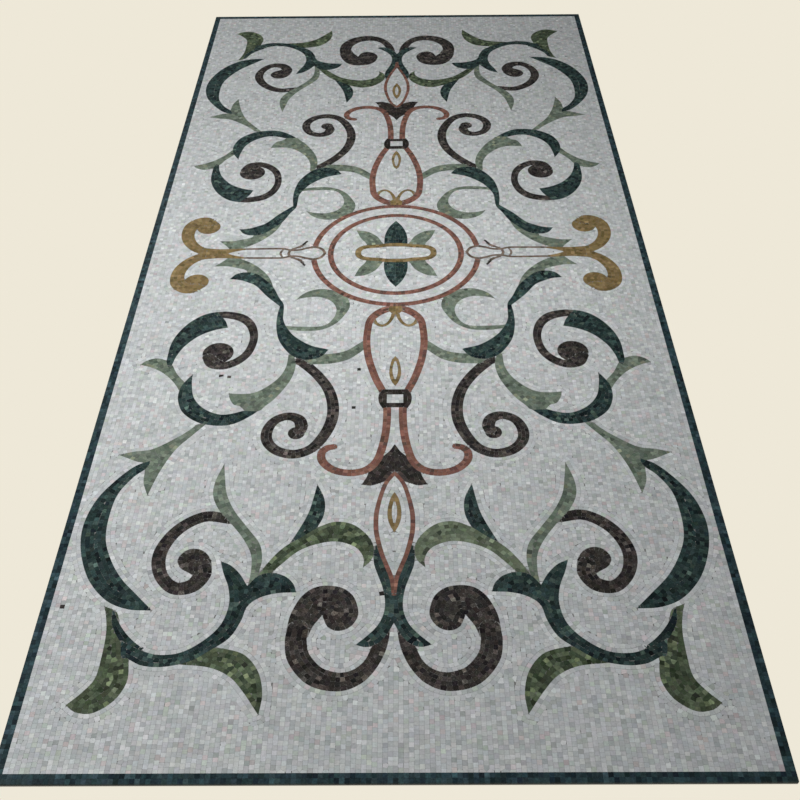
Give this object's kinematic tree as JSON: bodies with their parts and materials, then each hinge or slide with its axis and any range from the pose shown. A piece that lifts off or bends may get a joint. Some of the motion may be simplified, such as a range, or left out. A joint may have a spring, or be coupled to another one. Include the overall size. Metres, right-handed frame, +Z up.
{
  "type": "stone mosaic floor panel",
  "caption": "Flat rectangular stone mosaic floor panel with mirrored scrolls and leaves let flush into a pale ground inside a thin dark border.",
  "frame": {"origin": "middle of the underside", "axes": "+Z up out of the face, +X across the width, +Y along the length towards the far end"},
  "size_m": [1.5, 3.3, 0.01],
  "materials": {
    "border_stone": "honed",
    "brown_stone": "honed",
    "pale_stone": "honed",
    "green_stone": "honed",
    "ochre_stone": "honed",
    "olive_stone": "honed",
    "rust_stone": "honed",
    "sage_stone": "honed"
  },
  "bodies": {
    "root": {"field": "pale_stone", "border_left": "border_stone", "border_right": "border_stone", "border_near": "border_stone", "border_far": "border_stone", "inner_ring": "rust_stone", "pill_ring": "ochre_stone", "outer_ring_far": "rust_stone", "centre_spray_far": "green_stone", "vase_far": "rust_stone", "vase_lozenge_far": "ochre_stone", "clasp_far": "rust_stone", "almond_far": "rust_stone", "almond_lozenge_far": "ochre_stone", "stem_far": "green_stone", "outer_ring_near": "rust_stone", "centre_spray_near": "green_stone", "vase_near": "rust_stone", "vase_lozenge_near": "ochre_stone", "clasp_near": "rust_stone", "almond_near": "rust_stone", "almond_lozenge_near": "ochre_stone", "stem_near": "green_stone", "side_curls_right": "ochre_stone", "spear_right": "brown_stone", "side_curls_left": "ochre_stone", "spear_left": "brown_stone", "side_spray_right_far": "green_stone", "middle_spray_right_far": "sage_stone", "outer_spray_right_far": "green_stone", "corner_spray_right_far": "olive_stone", "large_scroll_right_far": "brown_stone", "middle_scroll_right_far": "brown_stone", "small_scroll_right_far": "brown_stone", "end_scroll_right_far": "brown_stone", "side_spray_left_far": "green_stone", "middle_spray_left_far": "sage_stone", "outer_spray_left_far": "green_stone", "corner_spray_left_far": "olive_stone", "large_scroll_left_far": "brown_stone", "middle_scroll_left_far": "brown_stone", "small_scroll_left_far": "brown_stone", "end_scroll_left_far": "brown_stone", "side_spray_left_near": "green_stone", "middle_spray_left_near": "sage_stone", "outer_spray_left_near": "green_stone", "corner_spray_left_near": "olive_stone", "large_scroll_left_near": "brown_stone", "middle_scroll_left_near": "brown_stone", "small_scroll_left_near": "brown_stone", "end_scroll_left_near": "brown_stone", "side_spray_right_near": "green_stone", "middle_spray_right_near": "sage_stone", "outer_spray_right_near": "green_stone", "corner_spray_right_near": "olive_stone", "large_scroll_right_near": "brown_stone", "middle_scroll_right_near": "brown_stone", "small_scroll_right_near": "brown_stone", "end_scroll_right_near": "brown_stone"}
  },
  "joints": []
}
